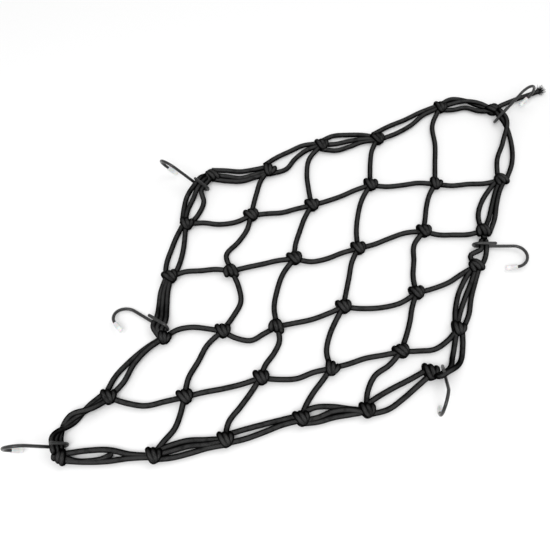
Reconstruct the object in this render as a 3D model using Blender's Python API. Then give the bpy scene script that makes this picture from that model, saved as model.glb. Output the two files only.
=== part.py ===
# Cargo net of black elastic cord with six wire hooks, lying loose on a floor.
# Five by five meshes hang between doubled and trebled rim strands, and a ridged
# knot holds every crossing. Each hook's eye goes round the rim cord, and a
# plastic cap is pushed on its tip.
# Metres, +Z up. The floor is z = 0 and the origin lies under the middle of the
# whole net. +X runs along the net's width and +Y away from the viewer.

import math
from collections import namedtuple

import bmesh
import bpy
import numpy as np

MM = 0.001

# The cord and how its middle line lies over the floor. A strand starts this far
# inside its knots, and the strands of one bundle are turned a little about their
# own middle lines.
CORD_DIAMETER = 5.0 * MM
CORD_SIDES = 6
STRAND_HEIGHT = 3.3 * MM
STRAND_START = 2.0 * MM
STRAND_TURN = 0.11

# Knots: the height of the middle, and the outline as distances along the axis of
# the turns and radii, in millimetres
KNOT_HEIGHT = 4.6 * MM
KNOT_SIDES = 6
KNOT_PROFILE = [(-7.0, 3.6), (-3.9, 6.2), (-0.4, 5.6), (3.4, 6.5), (7.0, 3.6)]

# The frayed end: distances past the cord's end and radii, in millimetres
FRAY_STEPS = (-1.5, 0.5, 5.0, 8.0)
FRAY_RADII = (2.4, 3.3, 2.2, 0.5)
FRAY_SIDES = 5

# Hooks: black wire with a flat eye round the rim, a straight shank, a J bend and a
# thinner pin at the tip. The eye is a straight bar with a free end over the strands,
# joined by a half turn to the shank below them. The step to the pin is square to
# the wire.
WIRE_DIAMETER = 2.8 * MM
WIRE_SIDES = 8
WIRE_NORMAL = (0.31, 0.17, 0.93)
EYE_RADIUS = 4.8 * MM
EYE_HALF = 4.4 * MM
EYE_RUNS = 6
BAR_END = 9.6 * MM
EYE_LIFT = 0.1 * MM
BEND_RADIUS = 11.0 * MM
BEND_RUNS = 8
SQUARE_LENGTH = 1.0 * MM
STEP_LENGTH = 0.05 * MM
PIN_DIAMETER = 1.6 * MM
PIN_LENGTH = 6.8 * MM

# How the rim strands go through an eye: straight for this far on each side, as
# far as they are clear of a knot, and side by side at this spacing
EYE_REACH = 3.8 * MM
KNOT_REACH = 6.5 * MM
EYE_SPACING = 4.4 * MM

# Tip caps: a blind sleeve over the pin, which leaves this gap round it
CAP_DIAMETER = 4.4 * MM
CAP_LENGTH = 10.5 * MM
CAP_BORE = 2.3 * MM
CAP_BORE_DEPTH = 7.4 * MM
CAP_ROUNDING = 1.0 * MM
CAP_BEVEL = 0.3 * MM
FIT_GAP = 0.35 * MM

# The viewpoint of the photograph, which turns a place in the 550 pixel wide
# picture into a place on the floor
PICTURE_MIDDLE = 274.5
VIEW_TILT = math.radians(58)
VIEW_FOCAL = 790
VIEW_HEIGHT = 595 * MM
MIDDLE_X = 39.0 * MM
MIDDLE_Y = 27.6 * MM

# Knots by name, with their places in the picture and the direction in degrees
# of the axis that their turns are wound round, and how tightly they are drawn.
# T, B, L and R knots are on the far, near, left and right rim, and I knots
# inside, by row and column.
Knot = namedtuple("Knot", "name across down turn size")
KNOTS = [
    Knot("TL", 212.0, 175.0, 35, 0.95),
    Knot("T1", 268.3, 169.4, 15, 0.95),
    Knot("T2", 320.9, 144.5, 20, 0.95),
    Knot("T3", 377.0, 138.5, 20, 0.95),
    Knot("T4", 439.5, 107.0, 25, 0.95),
    Knot("TR", 492.0, 109.4, -30, 0.9),
    Knot("L1", 185.9, 223.4, 60, 0.95),
    Knot("I11", 250.8, 214.7, 35, 0.95),
    Knot("I12", 311.5, 204.5, 30, 0.95),
    Knot("I13", 370.0, 184.1, 25, 0.95),
    Knot("I14", 434.9, 183.1, 20, 0.95),
    Knot("R1", 500.9, 178.9, 60, 0.95),
    Knot("L2", 169.4, 276.4, 70, 0.95),
    Knot("I21", 231.5, 270.1, 40, 0.95),
    Knot("I22", 293.9, 257.8, 30, 0.95),
    Knot("I23", 357.8, 247.6, 30, 0.95),
    Knot("I24", 423.4, 230.4, 25, 0.95),
    Knot("R2", 483.3, 229.7, 70, 0.95),
    Knot("L3", 163.4, 337.2, 50, 0.8),
    Knot("I31", 222.0, 330.4, 30, 0.95),
    Knot("I32", 277.1, 325.5, 35, 0.95),
    Knot("I33", 343.0, 306.2, 30, 0.95),
    Knot("I34", 416.3, 292.2, 35, 0.95),
    Knot("R3", 476.0, 264.8, 60, 0.85),
    Knot("L4", 107.7, 396.4, 40, 0.95),
    Knot("I41", 184.1, 396.4, 30, 0.95),
    Knot("I42", 260.3, 377.1, 30, 0.95),
    Knot("I43", 330.8, 367.6, 35, 0.95),
    Knot("I44", 400.9, 350.8, 30, 0.95),
    Knot("R4", 457.7, 328.0, 70, 0.95),
    Knot("BL", 61.0, 456.0, 60, 0.8),
    Knot("B1", 152.6, 455.0, 0, 0.95),
    Knot("B2", 224.5, 439.1, 10, 0.95),
    Knot("B3", 300.6, 418.1, 10, 0.95),
    Knot("B4", 366.5, 409.7, 20, 0.95),
    Knot("BR", 431.0, 372.0, 25, 1.1),
]

# Mesh cords from knot to knot. A strand bows sideways by these millimetres at
# its quarter, its middle and its three quarters, to the left as it runs.
Cord = namedtuple("Cord", "start end quarter middle three_quarters")
MESH_CORDS = [
    Cord("T1", "I11", -3.6, -3, -1.8),
    Cord("I11", "I21", 0.7, -3.3, -9.5),
    Cord("I21", "I31", 8.1, 11.9, 7.1),
    Cord("I31", "I41", -5.4, -5.1, -5.2),
    Cord("I41", "B1", 3.4, 5, 2),
    Cord("T2", "I12", -9.4, -9.3, -5.2),
    Cord("I12", "I22", -2.7, -3.1, -2.9),
    Cord("I22", "I32", -6.4, -7.8, -6.6),
    Cord("I32", "I42", 5.5, 4.3, 0.5),
    Cord("I42", "B2", -0.9, -2.5, -4.5),
    Cord("T3", "I13", -3.4, -3.2, -1.8),
    Cord("I13", "I23", -5, -5.8, -4.3),
    Cord("I23", "I33", -2.3, -1.4, -0.7),
    Cord("I33", "I43", -4, -6.6, -6.3),
    Cord("I43", "B3", -0.9, -2.2, -2.1),
    Cord("T4", "I14", -6.1, -2.2, -1.1),
    Cord("I14", "I24", -2.7, -2.7, -1.2),
    Cord("I24", "I34", -6.9, -5.4, -4.4),
    Cord("I34", "I44", -0.3, 0.9, 0.9),
    Cord("I44", "B4", -2.6, -8.4, -6.9),
    Cord("L1", "I11", -0.3, -4.6, -4.6),
    Cord("I11", "I12", -0.3, -2, -0.5),
    Cord("I12", "I13", -0.6, -0.7, 0.6),
    Cord("I13", "I14", -1.7, -0.2, 2.1),
    Cord("I14", "R1", -2.7, -2.1, -2.6),
    Cord("L2", "I21", 4.5, 4, 3.8),
    Cord("I21", "I22", 1.1, 1.3, 1.8),
    Cord("I22", "I23", -5.6, -5, -1.5),
    Cord("I23", "I24", 0.3, 2.4, 3.6),
    Cord("I24", "R2", -3.6, -3.9, -3.6),
    Cord("L3", "I31", 6.8, 7.5, 4.5),
    Cord("I31", "I32", -7.5, -10.8, -5.4),
    Cord("I32", "I33", -1.3, -2.6, -1.6),
    Cord("I33", "I34", -4.7, -7.2, -6.3),
    Cord("I34", "R3", -2.4, -3.4, -1.2),
    Cord("L4", "I41", -4.8, -7.1, -3.4),
    Cord("I41", "I42", 0.3, -0.8, -1),
    Cord("I42", "I43", -3.2, -4.6, -1.1),
    Cord("I43", "I44", 0.5, 1.9, 1),
    Cord("I44", "R4", -4.9, -8.9, -6.3),
]

# Rim strands, clockwise from the far left corner. They lie beside each other
# by these millimetres at their start, quarters and end, to the left as they
# run, and a strand that crosses over another is lifted by the last column.
Strand = namedtuple("Strand", "start end first quarter middle three_quarters last lift")
RIM_STRANDS = [
    Strand("TL", "T1", 7, 5.4, 2.4, 3.2, 4.5, 0),
    Strand("TL", "T1", 1, -2.6, -6.3, -3.6, -1, 0.8),
    Strand("TL", "T1", -4, -7.4, -9.4, -6.4, -3.5, 0),
    Strand("T1", "T2", 7.5, 10, 10, 9.6, 3, 0),
    Strand("T1", "T2", -5, -7.2, -0.6, 2.7, 0.5, 0),
    Strand("T2", "T3", 5, 11, 10.4, 8.4, 3, 0),
    Strand("T2", "T3", 1, -1.4, 0.5, 1.2, 0.5, 2),
    Strand("T2", "T3", -5, -7.9, -4.7, -0.4, -1, 0),
    Strand("T3", "T4", 7.5, 8.2, 6.5, 6.2, 3.5, 0),
    Strand("T3", "T4", -1, -3.3, -2.7, 1.6, 0.5, 0),
    Strand("T4", "TR", 4, 13.6, 12.4, 6, 1, 0),
    Strand("T4", "TR", 0, 4.6, 8.8, 7, 2, 3),
    Strand("T4", "TR", -3, -1.2, 2.6, -1.1, -1, 0),
    Strand("TR", "R1", 1, 9, 15, 13, 5, 0),
    Strand("TR", "R1", 4, 13.6, 5.6, -2, -3, 3),
    Strand("R1", "R2", -3, -7.4, -10, -9, -2, 0),
    Strand("R1", "R2", -1, -1.2, -0.2, 1, 0.5, 0),
    Strand("R1", "R2", 3, 2.2, 3.6, 6, 6, 2),
    Strand("R2", "R3", 0, 1.6, -3, -6.4, -1, 0),
    Strand("R2", "R3", 1.5, 3.2, 4.4, 6.4, 4, 0),
    Strand("R3", "R4", -2, -5.8, -7.6, -6.1, -2, 0),
    Strand("R3", "R4", 0, 0, -1.2, -1.8, -1, 0),
    Strand("R3", "R4", 3, 3.2, 3.7, 5.6, 4, 0),
    Strand("R4", "BR", -1, 4, 8.4, 13, 0, 0),
    Strand("R4", "BR", 4.5, 11.3, 16, 17, 2, 0),
    Strand("BR", "B4", -3, -3.6, -4.6, -5, -4, 0),
    Strand("BR", "B4", 2, 4.4, 7, 8.2, 4, 0),
    Strand("B4", "B3", 0, -3.6, -7.2, -8.4, -4.4, 0),
    Strand("B4", "B3", 2, -1.6, -2, 1.4, 2, 2.5),
    Strand("B4", "B3", 1, 1.4, 2, 4, 4, 0),
    Strand("B3", "B2", -3, -3.8, -4.1, -4.2, -3.4, 0),
    Strand("B3", "B2", 1, 0.5, 2.2, 3.4, 3, 0),
    Strand("B2", "B1", -1, -3.6, -6.2, -5.4, -2, 0),
    Strand("B2", "B1", 1, 0.4, -1.4, -0.6, 0, 0.8),
    Strand("B2", "B1", 4, 3.2, 4.2, 4.6, 3, 0),
    Strand("B1", "BL", 0, -1.6, -5.4, -4.8, -2, 0),
    Strand("B1", "BL", 1, 1.4, 3.7, 4, 3, 0),
    Strand("BL", "L4", 4, 16.4, 16, 10, 4, 0),
    Strand("BL", "L4", 3, 10.8, 11.6, 6.2, 1.5, 2),
    Strand("BL", "L4", 2, 9.4, 8.4, 4.2, -1, 0),
    Strand("L4", "L3", 3, 8, 8.1, 6, 1, 0),
    Strand("L4", "L3", -1, -1.6, 2.8, 3.2, 0, 2),
    Strand("L3", "L2", 3, 6.9, 6.9, 6.5, 3, 0),
    Strand("L3", "L2", 0, 3.7, 3.7, 3.7, 1, 0.8),
    Strand("L3", "L2", -1, 0, 0, 0.5, -1, 0),
    Strand("L2", "L1", 4, 6.6, 6.2, 5.2, 2.5, 0),
    Strand("L2", "L1", -3, -4.8, -4.5, -2.4, 0.4, 0),
    Strand("L1", "TL", 4, 9.2, 12.6, 10, 4, 0),
    Strand("L1", "TL", 1, 5.4, 6.2, 4.8, 1, 0),
    Strand("L1", "TL", -3, -5.8, -4.4, 0, -1, 0),
]

# The cord's free end beyond the far right knot, and the short end that sticks
# out of the near left one, as places in the picture from the knot on
FreeEnd = namedtuple("FreeEnd", "knot places frayed")
FREE_ENDS = [
    FreeEnd("TR", ((502.0, 104.5), (517.0, 98.5), (534.0, 92.5), (537.5, 91.2)), True),
    FreeEnd("BL", ((80.0, 458.8), (96.0, 456.6), (111.5, 456.2)), False),
]

# Hooks, each by the rim span it holds, the quarter of that span that passes
# through its eye and the heading of the strands there, and the place in the
# picture of the floor below the eye. In degrees come its heading over the floor,
# its shank's rise, and how far its eye and its bend turn about the shank. The
# shank's length is in millimetres, and the last figure is the turn of its bend.
Hook = namedtuple("Hook", "name start end quarter through across down heading rise lean roll shank bend")
HOOKS = [
    Hook("far_left", "L1", "TL", 3, 62, 200.8, 190, 170, 46, -21, 31, 27, 190),
    Hook("far_right", "TR", "R1", 1, -64, 498.6, 121, 29, 50, 24, -5, 27, 190),
    Hook("left", "L3", "L2", 1, 72, 159.8, 326.6, 147, 0, 0, -107, 27, 160),
    Hook("right", "R2", "R3", 2, -95, 482, 248.2, -3, 5, 18, 89, 27, 172),
    Hook("near_left", "BL", "L4", 1, 105, 59.5, 449, 203, 52, -13, 21, 24, 190),
    Hook("near_right", "R4", "BR", 3, 211, 442.2, 377.6, 258, 49, 25, 6, 27, 190),
]


def floor_point(across, down, height=0.0):
    """Return the point at this height that shows at a place in the picture."""
    along = (across - PICTURE_MIDDLE) / VIEW_FOCAL
    below = (down - PICTURE_MIDDLE) / VIEW_FOCAL
    depth = (VIEW_HEIGHT - height) / (math.sin(VIEW_TILT) + below * math.cos(VIEW_TILT))
    ahead = depth * (math.cos(VIEW_TILT) - below * math.sin(VIEW_TILT))
    middle_ahead = VIEW_HEIGHT / math.tan(VIEW_TILT)
    return np.array([along * depth - MIDDLE_X, ahead - middle_ahead - MIDDLE_Y, height])


def add_tube(mesh, line, radii, sides, first_normal=(0, 0, 1)):
    """Add a closed tube of the given radii along a line of points."""
    tangents = np.gradient(line, axis=0)
    tangents /= np.linalg.norm(tangents, axis=1)[:, None]
    normal = np.array(first_normal, float)
    rings = []
    for centre, tangent, radius in zip(line, tangents, radii):
        normal = normal - tangent * normal.dot(tangent)
        normal /= np.linalg.norm(normal)
        across = np.cross(tangent, normal)
        turns = (np.arange(sides) + 0.5) * 2 * math.pi / sides
        ring = [mesh.verts.new(centre + radius * (math.cos(a) * normal + math.sin(a) * across))
                for a in turns]
        rings.append(ring)
    for near, far in zip(rings, rings[1:]):
        for i in range(sides):
            j = (i + 1) % sides
            mesh.faces.new((near[i], near[j], far[j], far[i]))
    mesh.faces.new(rings[0][::-1])
    mesh.faces.new(rings[-1])


def add_object(name, mesh, material):
    """Make a named object of a bmesh, with flat caps and one material."""
    bmesh.ops.recalc_face_normals(mesh, faces=mesh.faces)
    data = bpy.data.meshes.new(name)
    mesh.to_mesh(data)
    mesh.free()
    data.shade_smooth()
    data.set_sharp_from_angle(angle=math.radians(40))
    data.materials.append(material)
    thing = bpy.data.objects.new(name, data)
    bpy.context.scene.collection.objects.link(thing)
    return thing


def make_material(name, colour, roughness, metallic=0.0):
    """Return a plain Principled material."""
    material = bpy.data.materials.new(name)
    material.use_nodes = True
    shader = material.node_tree.nodes["Principled BSDF"]
    shader.inputs["Base Color"].default_value = (*colour, 1.0)
    shader.inputs["Roughness"].default_value = roughness
    shader.inputs["Metallic"].default_value = metallic
    return material


def knot_centre(name):
    """Return the middle of a knot, which stands a little above the cords."""
    knot = next(knot for knot in KNOTS if knot.name == name)
    return floor_point(knot.across, knot.down, KNOT_HEIGHT)


def side_points(start, end, sideways, heights):
    """Return points at even fractions from start to end, moved to the left."""
    along = end - start
    left = np.array([-along[1], along[0], 0.0]) / np.linalg.norm(along[:2])
    points = []
    for index, (shift, height) in enumerate(zip(sideways, heights)):
        point = start + along * index / (len(sideways) - 1) + left * shift
        point[2] = height
        points.append(point)
    return points


def cord_radius():
    """Return the corner radius that gives a cord's section its true area."""
    area = math.pi * (CORD_DIAMETER / 2) ** 2
    return math.sqrt(2 * area / (CORD_SIDES * math.sin(2 * math.pi / CORD_SIDES)))


def add_strand(mesh, points, order=0):
    """Add a strand along its points, turned a little more for each in a bundle."""
    line = np.array(points)
    line[0] += (line[1] - line[0]) * STRAND_START / np.linalg.norm(line[1] - line[0])
    line[-1] += (line[-2] - line[-1]) * STRAND_START / np.linalg.norm(line[-2] - line[-1])
    normal = (STRAND_TURN * order, STRAND_TURN * order, 1.0)
    add_tube(mesh, line, [cord_radius()] * len(line), CORD_SIDES, normal)


def add_mesh_cord(mesh, cord):
    """Add one mesh cord between two knots."""
    sideways = np.array([0, cord.quarter, cord.middle, cord.three_quarters, 0]) * MM
    heights = [KNOT_HEIGHT, STRAND_HEIGHT, STRAND_HEIGHT, STRAND_HEIGHT, KNOT_HEIGHT]
    add_strand(mesh, side_points(knot_centre(cord.start), knot_centre(cord.end), sideways, heights))


def hook_frame(hook):
    """Return a hook's shank direction and the upright and sideways normals to it."""
    heading = math.radians(hook.heading)
    rise = math.radians(hook.rise)
    ahead = np.array([math.cos(heading), math.sin(heading), 0.0])
    up = np.array([0.0, 0.0, 1.0])
    shank = math.cos(rise) * ahead + math.sin(rise) * up
    upright = -math.sin(rise) * ahead + math.cos(rise) * up
    return shank, upright, np.cross(shank, upright)


def eye_spoke(hook):
    """Return the direction from the shank's start to the middle of the eye."""
    shank, upright, sideways = hook_frame(hook)
    lean = math.radians(hook.lean)
    return math.cos(lean) * upright + math.sin(lean) * sideways


def eye_centre(hook):
    """Return the middle of a hook's eye, which stands on the floor."""
    place = floor_point(hook.across, hook.down)
    shank, upright, sideways = hook_frame(hook)
    spoke = eye_spoke(hook)
    place[2] = EYE_RADIUS * math.hypot(shank[2], spoke[2]) + EYE_HALF * abs(shank[2])
    place[2] += WIRE_DIAMETER / 2 + EYE_LIFT
    return place


def eye_places(hook, strands):
    """Return where the rim strands pass through an eye, in their order along its bar."""
    shank, upright, sideways = hook_frame(hook)
    through = math.radians(hook.through)
    left = np.array([-math.sin(through), math.cos(through), 0.0])
    order = sorted(range(len(strands)), key=lambda index: strands[index][2 + hook.quarter])
    places = []
    for index in range(len(strands)):
        steps = order.index(index) - (len(strands) - 1) / 2
        shift = steps * EYE_SPACING * np.sign(shank.dot(left))
        places.append(eye_centre(hook) + shift * shank)
    return places


def add_rim_span(mesh, strands, hook):
    """Add the strands between two rim knots, gathered where a hook holds them."""
    start = knot_centre(strands[0].start)
    end = knot_centre(strands[0].end)
    for index, strand in enumerate(strands):
        sideways = np.array(strand[2:7]) * MM
        middle_height = STRAND_HEIGHT + strand.lift * MM
        heights = [KNOT_HEIGHT, middle_height, middle_height, middle_height, KNOT_HEIGHT]
        points = side_points(start, end, sideways, heights)
        if hook:
            through = math.radians(hook.through)
            reach = EYE_REACH * np.array([math.cos(through), math.sin(through), 0.0])
            place = eye_places(hook, strands)[index]
            passing = [place - reach, place, place + reach]
            points[hook.quarter:hook.quarter + 1] = [
                point for point in passing
                if np.linalg.norm(point - start) > KNOT_REACH
                and np.linalg.norm(point - end) > KNOT_REACH]
        add_strand(mesh, points, index)


def add_knot(mesh, knot):
    """Add a ridged knot: two fat turns of cord round one axis, flat below.

    The profile gives distances along that axis and radii in millimetres.
    """
    turn = math.radians(knot.turn)
    axis = np.array([math.cos(turn), math.sin(turn), 0.0])
    across = np.array([-math.sin(turn), math.cos(turn), 0.0])
    up = np.array([0.0, 0.0, 1.0])
    centre = floor_point(knot.across, knot.down, KNOT_HEIGHT)
    rings = []
    for offset, radius in KNOT_PROFILE:
        ring = []
        for side in range(KNOT_SIDES):
            a = 2 * math.pi * side / KNOT_SIDES
            outward = math.cos(a) * across + math.sin(a) * up
            point = centre + knot.size * (offset * axis + radius * outward) * MM
            point[2] = max(point[2], 0.0)
            ring.append(mesh.verts.new(point))
        rings.append(ring)
    for near, far in zip(rings, rings[1:]):
        for i in range(KNOT_SIDES):
            j = (i + 1) % KNOT_SIDES
            mesh.faces.new((near[i], near[j], far[j], far[i]))
    mesh.faces.new(rings[0][::-1])
    mesh.faces.new(rings[-1])


def add_free_end(mesh, free_end):
    """Add a loose end of cord, which flares where it is frayed."""
    points = [knot_centre(free_end.knot)]
    points += [floor_point(*place, STRAND_HEIGHT) for place in free_end.places]
    line = np.array(points)
    add_tube(mesh, line, [cord_radius()] * len(line), CORD_SIDES)
    if free_end.frayed:
        tip = line[-1]
        along = (line[-1] - line[-2]) / np.linalg.norm(line[-1] - line[-2])
        flare = np.array([tip + along * step * MM for step in FRAY_STEPS])
        add_tube(mesh, flare, np.array(FRAY_RADII) * MM, FRAY_SIDES)


def make_net(material):
    """Make the whole net as one solid, its strands and knots united."""
    mesh = bmesh.new()
    for cord in MESH_CORDS:
        add_mesh_cord(mesh, cord)
    spans = []
    for strand in RIM_STRANDS:
        if (strand.start, strand.end) not in spans:
            spans.append((strand.start, strand.end))
    for span in spans:
        strands = [strand for strand in RIM_STRANDS if (strand.start, strand.end) == span]
        hook = next((hook for hook in HOOKS if (hook.start, hook.end) == span), None)
        add_rim_span(mesh, strands, hook)
    for free_end in FREE_ENDS:
        add_free_end(mesh, free_end)
    for knot in KNOTS[1:]:
        add_knot(mesh, knot)
    net = add_object("net", mesh, material)

    corner = bmesh.new()
    add_knot(corner, KNOTS[0])
    cutter = add_object("first_knot", corner, material)
    cutter.hide_render = True
    cutter.display_type = "WIRE"
    union = net.modifiers.new("union", "BOOLEAN")
    union.operation = "UNION"
    union.object = cutter
    union.use_self = True
    fill_pockets(net)
    bpy.data.objects.remove(cutter)
    return net


def fill_pockets(thing):
    """Keep the outer skin of a solid, without the pockets closed in between its strands."""
    depsgraph = bpy.context.evaluated_depsgraph_get()
    united = bpy.data.meshes.new_from_object(thing.evaluated_get(depsgraph))
    thing.modifiers.clear()
    thing.data = united
    mesh = bmesh.new()
    mesh.from_mesh(united)
    waiting = set(mesh.faces)
    skins = []
    while waiting:
        skin = {waiting.pop()}
        edge_of_skin = list(skin)
        while edge_of_skin:
            face = edge_of_skin.pop()
            for edge in face.edges:
                for neighbour in edge.link_faces:
                    if neighbour in waiting:
                        waiting.remove(neighbour)
                        skin.add(neighbour)
                        edge_of_skin.append(neighbour)
        skins.append(skin)
    outer = max(skins, key=len)
    pockets = [face for face in mesh.faces if face not in outer]
    bmesh.ops.delete(mesh, geom=pockets, context="FACES")
    mesh.to_mesh(united)
    mesh.free()


def hook_line(hook):
    """Return the wire's middle line: bar, eye, shank and bend, and its last direction."""
    centre = eye_centre(hook)
    shank, upright, sideways = hook_frame(hook)
    spoke = eye_spoke(hook)
    line = [centre + BAR_END * shank + EYE_RADIUS * spoke]
    for angle in np.linspace(90, 270, EYE_RUNS + 1):
        turn = math.radians(angle)
        line.append(centre + (EYE_RADIUS * math.cos(turn) - EYE_HALF) * shank
                    + EYE_RADIUS * math.sin(turn) * spoke)
    line.append(centre - EYE_RADIUS * spoke)
    bend_start = line[-1] + hook.shank * MM * shank
    roll = math.radians(hook.roll)
    inward = -math.cos(roll) * upright + math.sin(roll) * sideways
    bend_turn = math.radians(hook.bend)
    for angle in np.linspace(0, bend_turn, BEND_RUNS + 1):
        line.append(bend_start + BEND_RADIUS * (math.sin(angle) * shank
                                                + (1 - math.cos(angle)) * inward))
    ahead = math.cos(bend_turn) * shank + math.sin(bend_turn) * inward
    return np.array(line), ahead


def make_hook(hook, material):
    """Make one wire hook, with a thinner pin at its tip for the cap."""
    line, ahead = hook_line(hook)
    tip = line[-1]
    square = tip - ahead * SQUARE_LENGTH
    pin = [tip + ahead * STEP_LENGTH, tip + ahead * PIN_LENGTH]
    radii = [WIRE_DIAMETER / 2] * (len(line) + 1) + [PIN_DIAMETER / 2] * 2
    mesh = bmesh.new()
    add_tube(mesh, np.vstack([line[:-1], square, tip, pin]), radii, WIRE_SIDES, WIRE_NORMAL)
    return add_object("hook_" + hook.name, mesh, material)


def make_cap(hook, material):
    """Make one tip cap: a round-ended sleeve over the hook's pin."""
    line, ahead = hook_line(hook)
    seat = line[-1] + ahead * FIT_GAP
    outer = [(CAP_DIAMETER / 2 - CAP_BEVEL, 0.0),
             (CAP_DIAMETER / 2, CAP_BEVEL),
             (CAP_DIAMETER / 2, CAP_LENGTH - CAP_ROUNDING),
             (CAP_DIAMETER / 2 - CAP_ROUNDING, CAP_LENGTH)]
    bore = [(CAP_BORE / 2, CAP_BORE_DEPTH), (CAP_BORE / 2, 0.0)]
    across = np.cross(ahead, [0.0, 0.0, 1.0])
    across /= np.linalg.norm(across)
    upward = np.cross(across, ahead)
    mesh = bmesh.new()
    rings = []
    for radius, distance in bore + outer:
        ring = []
        for side in range(WIRE_SIDES):
            a = 2 * math.pi * side / WIRE_SIDES
            ring.append(mesh.verts.new(seat + ahead * distance
                                       + radius * (math.cos(a) * across + math.sin(a) * upward)))
        rings.append(ring)
    for near, far in zip(rings, rings[1:]):
        for i in range(WIRE_SIDES):
            j = (i + 1) % WIRE_SIDES
            mesh.faces.new((near[i], near[j], far[j], far[i]))
    mesh.faces.new(rings[0][::-1])
    mesh.faces.new(rings[-1])
    return add_object("cap_" + hook.name, mesh, material)


def main():
    """Build the net, its hooks and their caps."""
    for thing in list(bpy.data.objects):
        bpy.data.objects.remove(thing)
    cord_black = make_material("cord_black", (0.012, 0.012, 0.013), 0.75)
    wire_black = make_material("wire_black", (0.02, 0.02, 0.021), 0.35)
    cap_clear = make_material("cap_clear", (0.86, 0.86, 0.86), 0.3)
    make_net(cord_black)
    for hook in HOOKS:
        make_hook(hook, wire_black)
        make_cap(hook, cap_clear)


main()
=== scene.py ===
# Cargo net of knotted black elastic cord with six capped wire hooks, laid loose on a
# pale floor. Metres, +Z up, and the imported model's own frame.
import math
from collections import namedtuple

import bpy
import numpy as np
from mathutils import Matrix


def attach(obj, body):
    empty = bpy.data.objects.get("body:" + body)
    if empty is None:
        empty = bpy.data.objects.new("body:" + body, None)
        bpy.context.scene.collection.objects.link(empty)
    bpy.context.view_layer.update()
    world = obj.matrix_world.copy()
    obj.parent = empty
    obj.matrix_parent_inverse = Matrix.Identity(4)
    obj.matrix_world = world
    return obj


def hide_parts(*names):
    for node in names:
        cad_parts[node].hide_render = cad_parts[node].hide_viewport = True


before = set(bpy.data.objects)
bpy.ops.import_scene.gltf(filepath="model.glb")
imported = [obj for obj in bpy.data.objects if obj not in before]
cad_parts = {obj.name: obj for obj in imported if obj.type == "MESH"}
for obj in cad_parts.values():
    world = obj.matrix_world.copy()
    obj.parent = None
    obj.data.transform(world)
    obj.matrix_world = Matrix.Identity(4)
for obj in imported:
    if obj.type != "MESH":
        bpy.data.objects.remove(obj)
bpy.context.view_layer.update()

mm = 0.001
up = np.array([0.0, 0.0, 1.0])

# The camera, through which every place in the picture is read
view = {
    "place": (-0.0390, -0.3994, 0.595),
    "tilt": math.radians(58),   # below level
    "focal": 790,               # pixels, of a picture 550 wide
    "picture": 550,
    "middle": 274.5,            # where the camera's axis meets the picture, both ways
    "nudge": (0.0003, 0, 0),    # of the camera alone, a third of a pixel
    "sensor": 36,
    "near": 10 * mm,
}

cameraData = bpy.data.cameras.new("view_camera")
cameraData.sensor_width = view["sensor"]
cameraData.lens = view["focal"] / view["picture"] * view["sensor"]
cameraData.clip_start = view["near"]
camera = bpy.data.objects.new("view_camera", cameraData)
camera.location = np.add(view["place"], view["nudge"])
camera.rotation_euler = (math.pi / 2 - view["tilt"], 0, 0)
bpy.context.scene.collection.objects.link(camera)
bpy.context.scene.camera = camera
print("camera set")


def floorPoint(across, down, height=0.0):
    # the point at this height on the line of sight through a place in the picture: the
    # camera's height over it, divided by how far the line drops for each unit of depth
    x = (across - view["middle"]) / view["focal"]
    y = (down - view["middle"]) / view["focal"]
    drop = math.sin(view["tilt"]) + y * math.cos(view["tilt"])
    depth = (view["place"][2] - height) / drop
    ahead = depth * (math.cos(view["tilt"]) - y * math.sin(view["tilt"]))
    return np.array([x * depth + view["place"][0], ahead + view["place"][1], height])


def unit(vectors):
    # every row divided by its length
    return vectors / np.linalg.norm(vectors, axis=-1, keepdims=True)


def directionOf(degrees):
    # unit direction on the floor, turned this far from +X towards +Y
    turn = math.radians(degrees)
    return np.array([math.cos(turn), math.sin(turn), 0.0])


def smoothLine(points, step):
    # cubic Hermite curve through the points, its slope at each the mean of the chords
    # on both sides, weighted by the other chord's length; rows about one step apart, and
    # four at least
    points = np.asarray(points, float)
    spans = np.linalg.norm(np.diff(points, axis=0), axis=1)
    chords = np.diff(points, axis=0) / spans[:, None]
    before, after = spans[:-1, None], spans[1:, None]
    inner = (chords[:-1] * after + chords[1:] * before) / (before + after)
    slopes = np.vstack([chords[:1], inner, chords[-1:]])
    reached = np.concatenate([[0], np.cumsum(spans)])
    at = np.linspace(0, reached[-1], max(4, int(math.ceil(reached[-1] / step)) + 1))
    i = np.clip(np.searchsorted(reached, at, side="right") - 1, 0, len(spans) - 1)
    t = ((at - reached[i]) / spans[i])[:, None]
    h = spans[i][:, None]
    return ((2 * t**3 - 3 * t**2 + 1) * points[i] + (t**3 - 2 * t**2 + t) * h * slopes[i]
            + (3 * t**2 - 2 * t**3) * points[i + 1] + (t**3 - t**2) * h * slopes[i + 1])


def tangentsOf(line, closed):
    # unit direction at each point, from its neighbours on both sides
    if closed:
        return unit(np.roll(line, -1, axis=0) - np.roll(line, 1, axis=0))
    return unit(np.gradient(line, axis=0))


# The direction towards which every cord's colour is painted lighter, as if lit: above and somewhat
# in front. Away from it the cord's sides get painted shade
paintedLitSide = unit(np.array([0, -0.42, 0.91]))


def sweptTube(line, radii, sides, reference=up, closed=False):
    # ring point = centre + radius * (cos a * normal + sin a * sideways), where normal is
    # the reference made square to the line
    tangents = tangentsOf(line, closed)
    normals = unit(reference - tangents * (tangents @ reference)[:, None])
    sideways = np.cross(tangents, normals)
    a = np.arange(sides) * 2 * math.pi / sides
    outward = (np.cos(a)[None, :, None] * normals[:, None, :]
               + np.sin(a)[None, :, None] * sideways[:, None, :])
    radii = np.broadcast_to(np.asarray(radii, float), len(line))[:, None, None]
    following = line[:1] if closed else line[-1:]
    steps = np.linalg.norm(np.diff(line, axis=0, append=following), axis=1)
    along = np.concatenate([[0], np.cumsum(steps)])[:len(line) + (1 if closed else 0)]
    # the last entry tells how far each point faces the side on which the cord is painted lighter as
    # if lit
    return {"grid": line[:, None, :] + radii * outward, "along": along / mm,
            "closed": closed, "litFacing": outward @ paintedLitSide}


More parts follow.
